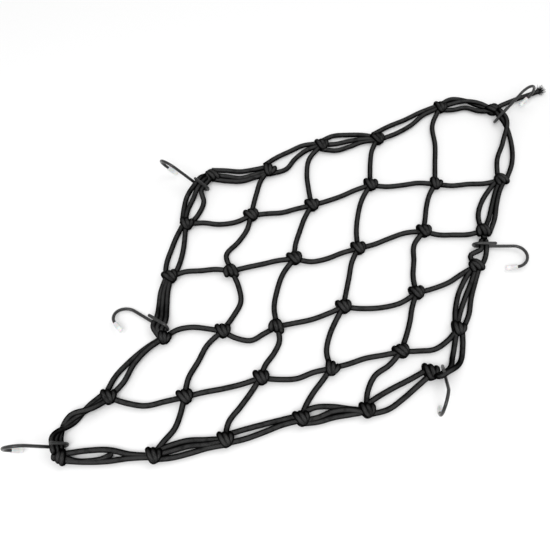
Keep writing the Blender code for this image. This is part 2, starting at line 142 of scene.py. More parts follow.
dome = {
    "rings": 4,
    "turn": 0.96,               # of a quarter turn, how far round the last ring lies
}


def domed(line, radius):
    # both ends rounded: rows at radius * sin b past the end, with radius * cos b
    b = np.linspace(0, math.pi / 2 * dome["turn"], dome["rings"] + 1)[1:]
    first, last = unit(line[0] - line[1]), unit(line[-1] - line[-2])
    ends = radius * np.sin(b)[:, None]
    whole = np.vstack([(line[0] + first * ends)[::-1], line, line[-1] + last * ends])
    shrunk = radius * np.cos(b)
    return whole, np.concatenate([shrunk[::-1], np.full(len(line), radius), shrunk])


def joinSkins(name, skins):
    # one mesh of many closed skins: quads between neighbouring rings, and a fan to the
    # middle of each end ring; UV is the turn round the line and the millimetres along it,
    # and litFacing is how far round towards its cord's painted lit side a point lies, from -1 to 1
    points, litFacing, quads, fans, quadUv, fanUv, base = [], [], [], [], [], [], 0
    for skin in skins:
        rows, sides = skin["grid"].shape[:2]
        points.append(skin["grid"].reshape(-1, 3))
        litFacing.append(skin["litFacing"].ravel())
        last = rows if skin["closed"] else rows - 1
        i, j = np.meshgrid(np.arange(last), np.arange(sides), indexing="ij")
        i, j = i.ravel(), j.ravel()
        k, m = (i + 1) % rows, (j + 1) % sides
        corners = [i * sides + j, i * sides + m, k * sides + m, k * sides + j]
        quads.append(base + np.stack(corners, 1))
        around = np.stack([j, j + 1, j + 1, j], 1) / sides
        along = skin["along"][np.stack([i, i, i + 1, i + 1], 1)]
        quadUv.append(np.stack([around, along], -1))
        if not skin["closed"]:
            points.append(skin["grid"][[0, -1]].mean(axis=1))
            litFacing.append(skin["litFacing"][[0, -1]].mean(axis=1))
            j = np.arange(sides)
            m = (j + 1) % sides
            top, pole = base + (rows - 1) * sides, base + rows * sides
            fans.append(np.stack([base + m, base + j, np.full(sides, pole)], 1))
            fans.append(np.stack([top + j, top + m, np.full(sides, pole + 1)], 1))
            for end, turn in ((0, (j + 1, j)), (-1, (j, j + 1))):
                u = np.stack([turn[0], turn[1], j + 0.5], 1) / sides
                fanUv.append(np.stack([u, np.full_like(u, skin["along"][end])], -1))
        base = sum(len(part) for part in points)
    faces = np.concatenate(quads).tolist() + (np.concatenate(fans).tolist() if fans else [])
    uv = [np.concatenate(quadUv).reshape(-1, 2)]
    uv += [np.concatenate(fanUv).reshape(-1, 2)] if fans else []
    mesh = bpy.data.meshes.new(name)
    mesh.from_pydata(np.concatenate(points), [], faces)
    mesh.uv_layers.new(name="along").data.foreach_set("uv", np.concatenate(uv).ravel())
    litFacingMap = mesh.attributes.new("litFacing", "FLOAT", "POINT")
    litFacingMap.data.foreach_set("value", np.concatenate(litFacing))
    mesh.shade_smooth()
    return mesh


def makePiece(name, skins, material, nodes):
    mesh = joinSkins(name, skins)
    mesh.materials.append(material)
    piece = bpy.data.objects.new(name, mesh)
    bpy.context.scene.collection.objects.link(piece)
    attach(piece, "root")
    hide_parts(*nodes)
    print(f"{name}: {len(mesh.polygons)} faces")


class Signal:
    # a socket's value, on which Python's own operators add Math nodes
    def __init__(self, graph, socket):
        self.graph, self.socket = graph, socket

    def maths(self, operation, *values):
        inputs = dict(enumerate(values))
        return self.graph.node("ShaderNodeMath", {"operation": operation}, inputs)

    def __add__(self, other):
        return self.maths("ADD", self, other)

    def __sub__(self, other):
        return self.maths("SUBTRACT", self, other)

    def __rsub__(self, other):
        return self.maths("SUBTRACT", other, self)

    def __mul__(self, other):
        return self.maths("MULTIPLY", self, other)

    def __truediv__(self, other):
        return self.maths("DIVIDE", self, other)

    def __mod__(self, other):
        return self.maths("FLOORED_MODULO", self, other)

    def whole(self):
        return self.maths("FLOOR", self)

    def sine(self):
        return self.maths("SINE", self)

    def held(self):
        return self.graph.node("ShaderNodeClamp", {}, {"Value": self})

    def past(self, start, sharpness):
        # 0 up to start, and beyond it the rest times the sharpness, up to 1; a negative
        # sharpness counts from start downwards
        return ((self - start) * sharpness).held()

    __radd__ = __add__
    __rmul__ = __mul__


class Finish:
    # a material's node tree, and its Principled shader
    def __init__(self, name, constants):
        self.material = bpy.data.materials.new(name)
        self.material.use_nodes = True
        self.tree = self.material.node_tree
        self.shader = self.tree.nodes["Principled BSDF"]
        for socket, value in constants.items():
            self.shader.inputs[socket].default_value = value

    def plug(self, socket, value):
        if isinstance(value, Signal):
            self.tree.links.new(value.socket, socket)
        else:
            socket.default_value = value

    def node(self, kind, settings, inputs, output=0):
        made = self.tree.nodes.new(kind)
        for name, value in settings.items():
            setattr(made, name, value)
        for name, value in inputs.items():
            self.plug(made.inputs[name], value)
        return Signal(self, made.outputs[output])

    def mix(self, factor, a, b):
        return self.node("ShaderNodeMix", {"data_type": "RGBA"}, {0: factor, 6: a, 7: b}, 2)

    def noise(self, where, scale, detail):
        inputs = {"Vector": where, "Scale": scale, "Detail": detail}
        return self.node("ShaderNodeTexNoise", {}, inputs)

    def objectPlace(self):
        return self.node("ShaderNodeTexCoord", {}, {}, "Object")

    def mapPlace(self):
        # the turn round a cord's line, and the millimetres along it
        uv = self.node("ShaderNodeUVMap", {"uv_map": "along"}, {})
        split = self.node("ShaderNodeSeparateXYZ", {}, {0: uv}).socket.node
        return Signal(self, split.outputs[0]), Signal(self, split.outputs[1])

    def bump(self, height, strength, distance):
        inputs = {"Strength": strength, "Distance": distance, "Height": height}
        return self.node("ShaderNodeBump", {}, inputs)

    def feed(self, links):
        for socket, value in links.items():
            self.plug(self.shader.inputs[socket], value)
        return self.material


def grey(level, warm=0.0):
    return (level * (1 + warm), level, level * (1 - warm), 1.0)


def blended(parts, shares):
    # each part times its share, added up
    products = [part * share for part, share in zip(parts, shares)]
    return sum(products[1:], products[0])


braid = {
    "carriers": 8,          # bands of yarn round the cord in each direction
    "pitch": 2.2,           # millimetres along the cord from one band to the next
    "yarns": 4,             # yarns side by side in a band
    # painted shade in the braid's hollows, at the bottom of its relief
    "shadedValley": grey(0.004),
    "crown": grey(0.056),
    # painted shade of the cord's sides, which the random mottling also darkens towards
    "side": grey(0.0006),
    "dusty": grey(0.052, 0.02),
    "fuzz": (900.0, 3.0),   # each noise's scale, to the metre, and its detail
    "wear": (45.0, 2.0),
    "mottle": (260.0, 1.0),
    "inColour": (0.62, 0.14, 0.34),     # the shares of crowns, yarns and fuzz
    "inHeight": (0.80, 0.12, 0.15),
    "worn": (0.52, 3.0),    # the noise from which the dust shows, and how sharply
    "dust": 0.4,
    "mottled": (0.5, -4.0),  # and the noise below which the yarn is darker
    "shade": 0.55,
    "paintedLitFrom": 0.62,       # way round to the painted lit side, of 1, where the sides' painted shade begins to give way
    "paintedLitTo": 0.97,         # and where the lit colour is full
    "relief": (0.8, 0.22 * mm),         # the bump's strength and depth
}


def bandOf(turns):
    # a family of bands, each one turn wide: a band's crown is 1 - (2 * fraction - 1)
    # squared, and its yarns are a sine from 0 to 1
    across = (turns % 1.0) * 2.0 - 1.0
    yarns = (turns * (2 * math.pi * braid["yarns"])).sine() * 0.5 + 0.5
    return 1.0 - across * across, yarns


def makeBraid():
    # two families of bands wind opposite ways, a = u * n + v / p and b = u * n - v / p.
    # Where whole(a) + whole(b) is odd the first lies on top, else the second. The cord's
    # upper, front side is painted lighter as if lit, and its sides are painted in shade
    finish = Finish("cord_braid", {"Roughness": 0.9, "Specular IOR Level": 0.02})
    u, v = finish.mapPlace()
    a = u * braid["carriers"] + v / braid["pitch"]
    b = u * braid["carriers"] - v / braid["pitch"]
    odd = (a.whole() + b.whole()) % 2.0
    crownA, yarnA = bandOf(a)
    crownB, yarnB = bandOf(b)
    crown = odd * crownA + (1.0 - odd) * crownB
    yarn = odd * yarnA + (1.0 - odd) * yarnB
    place = finish.objectPlace()
    fuzz = finish.noise(place, *braid["fuzz"])
    # painted shade: the colour runs from the near-black valley up to the crown as the braid's
    # relief rises, darker in the hollows between bands and between yarns; the fuzz adds random tone
    lit = blended((crown, yarn, fuzz), braid["inColour"]).held()
    colour = finish.mix(lit, braid["shadedValley"], braid["crown"])
    worn = finish.noise(place, *braid["wear"]).past(*braid["worn"])
    colour = finish.mix(worn * braid["dust"], colour, braid["dusty"])
    mottled = finish.noise(place, *braid["mottle"]).past(*braid["mottled"])
    colour = finish.mix(mottled * braid["shade"], colour, braid["side"])
    # painted light and shade: the cord keeps its lighter colour on its upper, front side and goes
    # to the near-black side colour on its sides
    litFacing = finish.node("ShaderNodeAttribute", {"attribute_name": "litFacing"}, {}, "Fac")
    paintedLit = ((litFacing - braid["paintedLitFrom"]) / (braid["paintedLitTo"] - braid["paintedLitFrom"])).held()
    colour = finish.mix(paintedLit, braid["side"], colour)
    height = blended((crown, yarn, fuzz), braid["inHeight"])
    relief = finish.bump(height, *braid["relief"])
    return finish.feed({"Base Color": colour, "Normal": relief})


coat = {
    "dark": grey(0.009),
    "light": grey(0.024),
    "scuff": grey(0.10, 0.01),
    "patches": (120.0, 3.0),    # each noise's scale, to the metre, and its detail
    "scratches": (700.0, 4.0),
    "peel": (1500.0, 2.0),
    "scuffed": (0.62, 9.0),     # the noise from which the scuffs show, and how sharply
    "scuffShows": 0.5,
    "roughness": 0.30,          # and how much the patches and the scuffs add
    "patchAdds": 0.15,
    "scuffAdds": 0.20,
    "relief": (0.15, 0.02 * mm),        # the bump's strength and depth
}


def makeCoat():
    # dip-coated wire: patches of a slightly lighter grey, fine scuffs and an orange peel
    finish = Finish("wire_coat", {"Metallic": 0.2, "Coat Roughness": 0.22,
                                  "Coat Weight": 0.3, "Specular IOR Level": 0.4})
    place = finish.objectPlace()
    patches = finish.noise(place, *coat["patches"])
    scuffs = finish.noise(place, *coat["scratches"]).past(*coat["scuffed"])
    colour = finish.mix(patches, coat["dark"], coat["light"])
    colour = finish.mix(scuffs * coat["scuffShows"], colour, coat["scuff"])
    rough = coat["roughness"] + patches * coat["patchAdds"] + scuffs * coat["scuffAdds"]
    peel = finish.bump(finish.noise(place, *coat["peel"]), *coat["relief"])
    return finish.feed({"Base Color": colour, "Roughness": rough, "Normal": peel})


sleeve = {
    "milky": (0.80, 0.81, 0.80, 1.0),
    "clear": (0.66, 0.67, 0.67, 1.0),
    "pin": (0.40, 0.40, 0.41, 1.0),
    "cloud": (350.0, 2.0),      # the noise's scale, to the metre, and its detail
    "pinEnds": (1.0, -4.0),     # of the bore's depth, and how sharply
    "pinShows": 0.35,
    "relief": (0.2, 0.1 * mm),  # the bump's strength and depth
}


def makeSleeve():
    # soft plastic: milky at its blind end, greyer where the pin shows through the wall
    finish = Finish("cap_plastic", {"Roughness": 0.28, "Subsurface Weight": 0.25,
                                    "Subsurface Scale": 0.003, "Coat Weight": 0.3,
                                    "Coat Roughness": 0.1})
    along = finish.mapPlace()[1]
    cloud = finish.noise(finish.objectPlace(), *sleeve["cloud"])
    pin = (along / cap["boreDepth"]).past(*sleeve["pinEnds"])
    colour = finish.mix(cloud, sleeve["milky"], sleeve["clear"])
    colour = finish.mix(pin * sleeve["pinShows"], colour, sleeve["pin"])
    relief = finish.bump(cloud, *sleeve["relief"])
    return finish.feed({"Base Color": colour, "Normal": relief})


cord = {
    "radius": 2.35 * mm,
    "height": 3.2 * mm,         # of a strand's middle line over the floor
    "atKnot": 3.9 * mm,         # and where it goes into a knot
    "sides": 14,
    "step": 1.8 * mm,
}

knotForm = {
    "height": 4.6 * mm,         # at which a knot's place in the picture is read
    "middle": 5.0 * mm,         # of the knot over the floor
    "ears": 4.5 * mm,           # how far each ear stands out sideways
    "depth": 4.3 * mm,          # how far the ears and the foot stand out lengthways
    "rise": 2.3 * mm,           # half the height of its turns
    "over": 0.7 * mm,           # how much higher the top strand lies where the two cross
    "lean": 1.4 * mm,           # how far the foot lies to one side
    "bulge": 1.3 * mm,          # how much further out the strand by the right ear bows
    "steps": 104,
    "wrap": 4.3 * mm,           # half the length of the turn over its middle
    "wrapTurn": -62,            # of that turn's length, from the ears' line
    "wrapPlace": (1.6 * mm, 0.5 * mm, 0.4 * mm),  # of its middle, from the knot's
    "wrapRise": 2.9 * mm,
    "wrapSteps": 40,
    "sides": 14,
    "cord": 2.5 * mm,           # radius
}

# Knots by name: place in the picture, size, and the turn of the knot on the floor in
# degrees. Knots T, B, L and R are on the far, near, left and right rim, I inside.
knots = {
    "TL": (212.0, 175.0, 1.00, 200),
    "T1": (268.3, 169.4, 1.00, -25),
    "T2": (320.9, 144.5, 0.95, 0),
    "T3": (377.0, 138.5, 0.95, 10),
    "T4": (439.5, 107.0, 0.95, -10),
    "TR": (492.0, 109.4, 0.90, 30),
    "L1": (185.9, 223.4, 0.95, -10),
    "I11": (250.8, 214.7, 0.95, 15),
    "I12": (311.5, 204.5, 0.95, 5),
    "I13": (370.0, 184.1, 0.95, -5),
    "I14": (434.9, 183.1, 0.88, -25),
    "R1": (500.9, 178.9, 0.95, 200),
    "L2": (169.4, 276.4, 0.95, 20),
    "I21": (231.5, 270.1, 0.95, 180),
    "I22": (293.9, 257.8, 0.95, 10),
    "I23": (357.8, 247.6, 0.95, 5),
    "I24": (423.4, 230.4, 0.95, 0),
    "R2": (483.3, 229.7, 0.95, 180),
    "L3": (163.4, 337.2, 0.80, -20),
    "I31": (222.0, 330.4, 0.95, 0),
    "I32": (277.1, 325.5, 0.95, 170),
    "I33": (343.0, 306.2, 0.95, 5),
    "I34": (416.3, 292.2, 0.95, 10),
    "R3": (476.0, 264.8, 0.95, 200),
    "L4": (107.7, 396.4, 0.95, 0),
    "I41": (184.1, 396.4, 0.95, 10),
    "I42": (260.3, 377.1, 0.95, 0),
    "I43": (330.8, 367.6, 0.95, -30),
    "I44": (400.9, 350.8, 0.95, 20),
    "R4": (457.7, 328.0, 0.95, -20),
    "BL": (61.0, 456.0, 0.85, 150),
    "B1": (152.6, 455.0, 0.95, -5),
    "B2": (224.5, 439.1, 0.95, 0),
    "B3": (300.6, 418.1, 0.95, 5),
    "B4": (366.5, 409.7, 0.95, -5),
    "BR": (429.6, 371.6, 1.08, -12),
}

# Mesh cords from knot to knot, with the millimetres that each bows to its left at its
# quarter, its middle and its three quarters.
meshCords = {
    ("T1", "I11"): (-3.6, -3.0, -1.8),
    ("I11", "I21"): (0.7, -3.3, -9.5),
    ("I21", "I31"): (8.1, 11.9, 7.1),
    ("I31", "I41"): (-5.4, -5.1, -5.2),
    ("I41", "B1"): (3.4, 5.0, 2.0),
    ("T2", "I12"): (-9.4, -9.3, -5.2),
    ("I12", "I22"): (-2.7, -3.1, -2.9),
    ("I22", "I32"): (-6.4, -7.8, -6.6),
    ("I32", "I42"): (5.5, 4.3, 0.5),
    ("I42", "B2"): (-0.9, -2.5, -4.5),
    ("T3", "I13"): (-3.4, -3.2, -1.8),
    ("I13", "I23"): (-5.0, -5.8, -4.3),
    ("I23", "I33"): (-2.3, -1.4, -0.7),
    ("I33", "I43"): (-4.0, -6.6, -6.3),
    ("I43", "B3"): (-0.9, -2.2, -2.1),
    ("T4", "I14"): (-6.1, -2.2, -1.1),
    ("I14", "I24"): (-2.7, -2.7, -1.2),
    ("I24", "I34"): (-6.9, -5.4, -4.4),
    ("I34", "I44"): (-0.3, 0.9, 0.9),
    ("I44", "B4"): (-2.6, -8.4, -6.9),
    ("L1", "I11"): (-0.3, -4.6, -4.6),
    ("I11", "I12"): (-0.3, -2.0, -0.5),
    ("I12", "I13"): (-0.6, -0.7, 0.6),
    ("I13", "I14"): (-1.7, -0.2, 2.1),
    ("I14", "R1"): (-2.7, -2.1, -2.6),
    ("L2", "I21"): (4.5, 4.0, 3.8),
    ("I21", "I22"): (1.1, 1.3, 1.8),
    ("I22", "I23"): (-5.6, -5.0, -1.5),
    ("I23", "I24"): (0.3, 2.4, 3.6),
    ("I24", "R2"): (-3.6, -3.9, -3.6),
    ("L3", "I31"): (6.8, 7.5, 4.5),
    ("I31", "I32"): (-7.5, -10.8, -5.4),
    ("I32", "I33"): (-1.3, -2.6, -1.6),
    ("I33", "I34"): (-4.7, -7.2, -6.3),
    ("I34", "R3"): (-2.4, -3.4, -1.2),
    ("L4", "I41"): (-4.8, -7.1, -3.4),
    ("I41", "I42"): (0.3, -0.8, -1.0),
    ("I42", "I43"): (-3.2, -4.6, -1.1),
    ("I43", "I44"): (0.5, 1.9, 1.0),
    ("I44", "R4"): (-4.9, -8.9, -6.3),
}

# Rim spans clockwise from the far left corner, and for each of their strands the
# millimetres to the left at its start, quarters and end, and its lift where it crosses.
rimSpans = {
    ("TL", "T1"): [(7.0, 5.4, 2.4, 3.2, 4.5, 0.0), (1.0, -2.6, -6.3, -3.6, -1.0, 0.8),
                   (-4.0, -7.4, -9.4, -6.4, -3.5, 0.0)],
    ("T1", "T2"): [(7.5, 10.0, 10.0, 9.6, 3.0, 0.0), (-5.0, -7.2, -0.6, 2.7, 0.5, 0.0)],
    ("T2", "T3"): [(5.0, 11.0, 10.4, 8.4, 3.0, 0.0), (1.0, -1.4, 0.5, 1.2, 0.5, 2.0),
                   (-5.0, -7.9, -4.7, -0.4, -1.0, 0.0)],
    ("T3", "T4"): [(7.5, 8.2, 6.5, 6.2, 3.5, 0.0), (-1.0, -3.3, -2.7, 1.6, 0.5, 0.0)],
    ("T4", "TR"): [(4.0, 13.6, 12.4, 6.0, 1.0, 0.0), (0.0, 4.6, 8.8, 7.0, 2.0, 3.0),
                   (-3.0, -1.2, 2.6, -1.1, -1.0, 0.0)],
    ("TR", "R1"): [(1.0, 9.0, 15.0, 13.0, 5.0, 0.0), (4.0, 13.6, 5.6, -2.0, -3.0, 3.0)],
    ("R1", "R2"): [(-3.0, -7.4, -10.0, -9.0, -2.0, 0.0), (-1.0, -1.2, -0.2, 1.0, 0.5, 0.0),
                   (3.0, 2.2, 3.6, 6.0, 6.0, 2.0)],
    ("R2", "R3"): [(0.0, 1.6, -3.0, -6.4, -1.0, 0.0), (1.5, 3.2, 4.4, 6.4, 4.0, 0.0)],
    ("R3", "R4"): [(-2.0, -5.8, -7.6, -6.1, -2.0, 0.0), (0.0, 0.0, -1.2, -1.8, -1.0, 0.0),
                   (3.0, 3.2, 3.7, 5.6, 4.0, 0.0)],
    ("R4", "BR"): [(-1.0, 4.0, 8.4, 13.0, 0.0, 0.0), (4.5, 11.3, 16.0, 17.0, 2.0, 0.0)],
    ("BR", "B4"): [(-3.0, -3.6, -4.6, -5.0, -4.0, 0.0), (2.0, 4.4, 7.0, 8.2, 4.0, 0.0)],
    ("B4", "B3"): [(0.0, -3.6, -7.2, -8.4, -4.4, 0.0), (2.0, -1.6, -2.0, 1.4, 2.0, 2.5),
                   (1.0, 1.4, 2.0, 4.0, 4.0, 0.0)],
    ("B3", "B2"): [(-3.0, -3.8, -4.1, -4.2, -3.4, 0.0), (1.0, 0.5, 2.2, 3.4, 3.0, 0.0)],
    ("B2", "B1"): [(-1.0, -3.6, -6.2, -5.4, -2.0, 0.0), (1.0, 0.4, -1.4, -0.6, 0.0, 0.8),
                   (4.0, 3.2, 4.2, 4.6, 3.0, 0.0)],
    ("B1", "BL"): [(0.0, -1.6, -5.4, -4.8, -2.0, 0.0), (1.0, 1.4, 3.7, 4.0, 3.0, 0.0)],
    ("BL", "L4"): [(4.0, 15.0, 9.2, 8.8, 5.0, 0.0), (3.0, 10.8, 11.0, 5.0, 1.0, 2.4),
                   (2.0, 9.4, 14.0, 3.0, -2.0, 4.6)],
    ("L4", "L3"): [(3.0, 8.0, 8.1, 6.0, 1.0, 0.0), (-1.0, -1.6, 2.8, 3.2, 0.0, 2.0)],
    ("L3", "L2"): [(3.0, 6.9, 6.9, 6.5, 3.0, 0.0), (0.0, 3.7, 3.7, 3.7, 1.0, 0.8),
                   (-1.0, 0.0, 0.0, 0.5, -1.0, 0.0)],
    ("L2", "L1"): [(4.0, 6.6, 6.2, 5.2, 2.5, 0.0), (-3.0, -4.8, -4.5, -2.4, 0.4, 0.0)],
    ("L1", "TL"): [(4.0, 9.2, 12.6, 10.0, 4.0, 0.0), (1.0, 5.4, 6.2, 4.8, 1.0, 0.0),
                   (-3.0, -5.8, -4.4, 0.0, -1.0, 0.0)],
}

hookForm = {
    "wire": 1.4 * mm,           # radius
    "sides": 14,
    "eye": 4.8 * mm,            # from an eye's middle to its bar, and to the shank
    "eyeHalf": 4.4 * mm,        # from its middle to where its round end begins
    "eyeRows": 21,              # of its round end
    "barEnd": 9.6 * mm,         # from its middle to the bar's free end
    "barRows": 9,
    "eyeLift": 0.1 * mm,        # of its lowest point over the floor
    "shankRows": 16,
    "bend": 11.0 * mm,          # radius
    "bendRows": 45,
    "shoulder": 0.04,           # of the wire's radius, from the wire's end to the pin
    "pin": 0.8 * mm,            # radius
    "pinLength": 6.8 * mm,
    "reach": 3.8 * mm,          # the strands run straight this far either side of an eye
    "knotReach": 6.5 * mm,      # and bend no nearer to a knot than this
    "spacing": 4.4 * mm,        # of the strands side by side in an eye
}

# Hooks by name: the rim span each holds and the quarter of it that goes through its
# eye, the heading of the strands there, the place in the picture of the floor below the
# eye, then heading, rise, lean and roll in degrees, the shank's length in millimetres and
# the degrees that it bends through.
Hook = namedtuple("Hook", "span quarter through across down heading rise lean roll shank bend")
hooks = {
    "far_left": Hook(("L1", "TL"), 3, 62, 200.8, 190.0, 170, 46, -21, 31, 27, 190),
    "far_right": Hook(("TR", "R1"), 1, -64, 498.6, 121.0, 29, 50, 24, -5, 27, 190),
    "left": Hook(("L3", "L2"), 1, 72, 159.8, 326.6, 147, 0, 0, -107, 27, 160),
    "right": Hook(("R2", "R3"), 2, -95, 482.0, 248.2, -3, 5, 18, 89, 27, 172),
    "near_left": Hook(("BL", "L4"), 1, 105, 59.5, 449.0, 203, 52, -13, 21, 24, 190),
    "near_right": Hook(("R4", "BR"), 3, 211, 442.2, 377.6, 258, 49, 25, 6, 27, 190),
}

cap = {
    "radius": 2.2,              # millimetres, as are the rest
    "length": 10.5,
    "bore": 1.15,               # radius
    "boreDepth": 7.4,
    "boreCorner": 0.3,          # where the bore's wall begins, from its floor
    "boreRings": (0.05, 0.8, 1.0),  # of the bore's radius, two on its floor
    "lip": 0.3,
    "lipRows": 7,
    "wallRings": (2.0, 5.0),    # along the outside
    "rounding": 1.5,            # of the tip's edge
    "tipRows": 8,
    "tipTurn": 0.97,            # of a quarter turn
    "gap": 0.35,                # between the wire's shoulder and the mouth
    "sides": 24,
}


def knotCentre(name):
    return floorPoint(*knots[name][:2], knotForm["height"])


def sidePoints(start, end, sideways, heights):
    # points at even fractions of the way, moved to the left on the floor
    along = end - start
    left = unit(np.array([-along[1], along[0], 0.0]))
    fractions = np.linspace(0, 1, len(sideways))[:, None]
    points = start + along * fractions + left * np.array(sideways)[:, None] * mm
    points[:, 2] = heights
    return points


def spanHeights(lift=0.0):
    middle = cord["height"] + lift * mm
    return [cord["atKnot"], middle, middle, middle, cord["atKnot"]]


def hookFrame(hook):
    # the shank's direction, the spoke from the shank to the bar, turned about the shank
    # by lean, and the bend's inward direction, turned about it by roll
    rise, lean, roll = [math.radians(angle) for angle in (hook.rise, hook.lean, hook.roll)]
    ahead = directionOf(hook.heading)
    shank = math.cos(rise) * ahead + math.sin(rise) * up
    upright = -math.sin(rise) * ahead + math.cos(rise) * up
    sideways = np.cross(shank, upright)
    spoke = math.cos(lean) * upright + math.sin(lean) * sideways
    inward = -math.cos(roll) * upright + math.sin(roll) * sideways
    return shank, spoke, inward


def eyeCentre(hook):
    # as high over its place on the floor as leaves the eye's lowest point just above it
    shank, spoke = hookFrame(hook)[:2]
    lift = hookForm["eye"] * math.hypot(shank[2], spoke[2]) + hookForm["eyeHalf"] * abs(shank[2])
    return floorPoint(hook.across, hook.down) + (lift + hookForm["wire"] + hookForm["eyeLift"]) * up


def eyePlaces(hook):
    # where the strands of a bundle go through an eye: side by side along its bar, in the
    # order in which they lie across the span
    shank = hookFrame(hook)[0]
    across = np.array([strand[hook.quarter] for strand in rimSpans[hook.span]])
    rank = np.argsort(np.argsort(across)) - (len(across) - 1) / 2
    side = np.sign(shank @ directionOf(hook.through + 90))
    return eyeCentre(hook) + (rank * side * hookForm["spacing"])[:, None] * shank


def rimLine(span, index):
    # a rim strand's line, drawn through the eye of the hook that holds its span, if any
    start, end = knotCentre(span[0]), knotCentre(span[1])
    strand = rimSpans[span][index]
    points = list(sidePoints(start, end, strand[:5], spanHeights(strand[5])))
    for hook in hooks.values():
        if hook.span == span:
            reach = hookForm["reach"] * directionOf(hook.through)
            place = eyePlaces(hook)[index]
            passing = [place - reach, place, place + reach]
            points[hook.quarter:hook.quarter + 1] = [
                point for point in passing
                if min(np.linalg.norm(point - start), np.linalg.norm(point - end))
                > hookForm["knotReach"]]
    return smoothLine(points, cord["step"])


def knotPlace(name, x, y, z):
    # points of a knot: its own across and lengthways by its size, and the height
    across, down, size, turn = knots[name]
    floorPlace = floorPoint(across, down, knotForm["middle"]) * (1, 1, 0)
    return floorPlace + size * (x * directionOf(turn) + y * directionOf(turn + 90)) + z * up


def earsSkin(name):
    # two turns round the cords that the knot holds, drawn together at the foot:
    # x = ears * cos(t / 2) + lean * (1 - cos t) / 2, y = depth * cos t and
    # z = middle + rise * sin t - over * sin(t / 2), for t from 0 to 720 degrees, and for
    # the first 180 x bows out by bulge * (sin t) squared
    t = np.linspace(0, 4 * math.pi, knotForm["steps"], endpoint=False)[:, None]
    x = knotForm["ears"] * np.cos(t / 2) + knotForm["lean"] * (1 - np.cos(t)) / 2
    x = x + knotForm["bulge"] * np.where(t < math.pi, np.sin(t) ** 2, 0)
    y = knotForm["depth"] * np.cos(t)
    z = knotForm["middle"] + knotForm["rise"] * np.sin(t) - knotForm["over"] * np.sin(t / 2)
    return sweptTube(knotPlace(name, x, y, z), knotForm["cord"], knotForm["sides"],
                     directionOf(knots[name][3]), closed=True)


def wrapSkin(name):
    # one upright turn over the knot's middle, an ellipse: wrap * cos t along its own
    # direction and wrapRise * sin t upwards
    t = np.linspace(0, 2 * math.pi, knotForm["wrapSteps"], endpoint=False)[:, None]
    lengthways = directionOf(knotForm["wrapTurn"])
    sideways, forward, lift = knotForm["wrapPlace"]
    x = sideways + knotForm["wrap"] * np.cos(t) * lengthways[0]
    y = forward + knotForm["wrap"] * np.cos(t) * lengthways[1]
    z = knotForm["middle"] + lift + knotForm["wrapRise"] * np.sin(t)
    return sweptTube(knotPlace(name, x, y, z), knotForm["cord"], knotForm["sides"],
                     directionOf(knots[name][3] + knotForm["wrapTurn"] + 90), closed=True)


def hookWire(hook):
    # the wire's line and radii from the bar's free end to the pin's, and the place and
    # direction of the wire's own end. With x along the shank and y along the spoke, the
    # bar runs back at y = eye, the eye's end is x = eye * cos a - eyeHalf and
    # y = eye * sin a, and the shank starts at y = -eye. The bend is
    # shank's end + bend * (sin t * shank + (1 - cos t) * inward)
    shank, spoke, inward = hookFrame(hook)
    eye, half = hookForm["eye"], hookForm["eyeHalf"]
    a = np.linspace(math.pi / 2, math.pi * 3 / 2, hookForm["eyeRows"])
    bar = np.linspace(hookForm["barEnd"], -half, hookForm["barRows"])[:-1]
    x = np.concatenate([bar, eye * np.cos(a) - half, [-half / 2, 0]])
    y = np.concatenate([np.full(len(bar), eye), eye * np.sin(a), [-eye, -eye]])
    clamp = eyeCentre(hook) + x[:, None] * shank + y[:, None] * spoke
    parts = np.linspace(0, 1, hookForm["shankRows"])[1:, None]
    straight = clamp[-1] + shank * hook.shank * mm * parts
    bendTurn = math.radians(hook.bend)
    t = np.linspace(0, bendTurn, hookForm["bendRows"])[1:, None]
    bend = straight[-1] + hookForm["bend"] * (np.sin(t) * shank + (1 - np.cos(t)) * inward)
    ahead = math.cos(bendTurn) * shank + math.sin(bendTurn) * inward
    line, radii = domed(np.vstack([clamp, straight, bend]), hookForm["wire"])
    pinPlaces = np.array([hookForm["wire"] * hookForm["shoulder"],
                          hookForm["pinLength"] / 2, hookForm["pinLength"]])
    line = np.vstack([line[:-dome["rings"]], bend[-1] + ahead * pinPlaces[:, None]])
    radii = np.concatenate([radii[:-dome["rings"]], np.full(3, hookForm["pin"])])
    return line, radii, bend[-1], ahead


def wireSkin(hook, line, radii):
    # its rings start from a direction that lies near the square of the eye's plane and
    # of the bend's
    shank, spoke, inward = hookFrame(hook)
    across, swing = np.cross(shank, spoke), unit(np.cross(shank, inward))
    reference = unit(across + swing * (1 if swing @ across > 0 else -1))
    return sweptTube(line, radii, hookForm["sides"], reference)


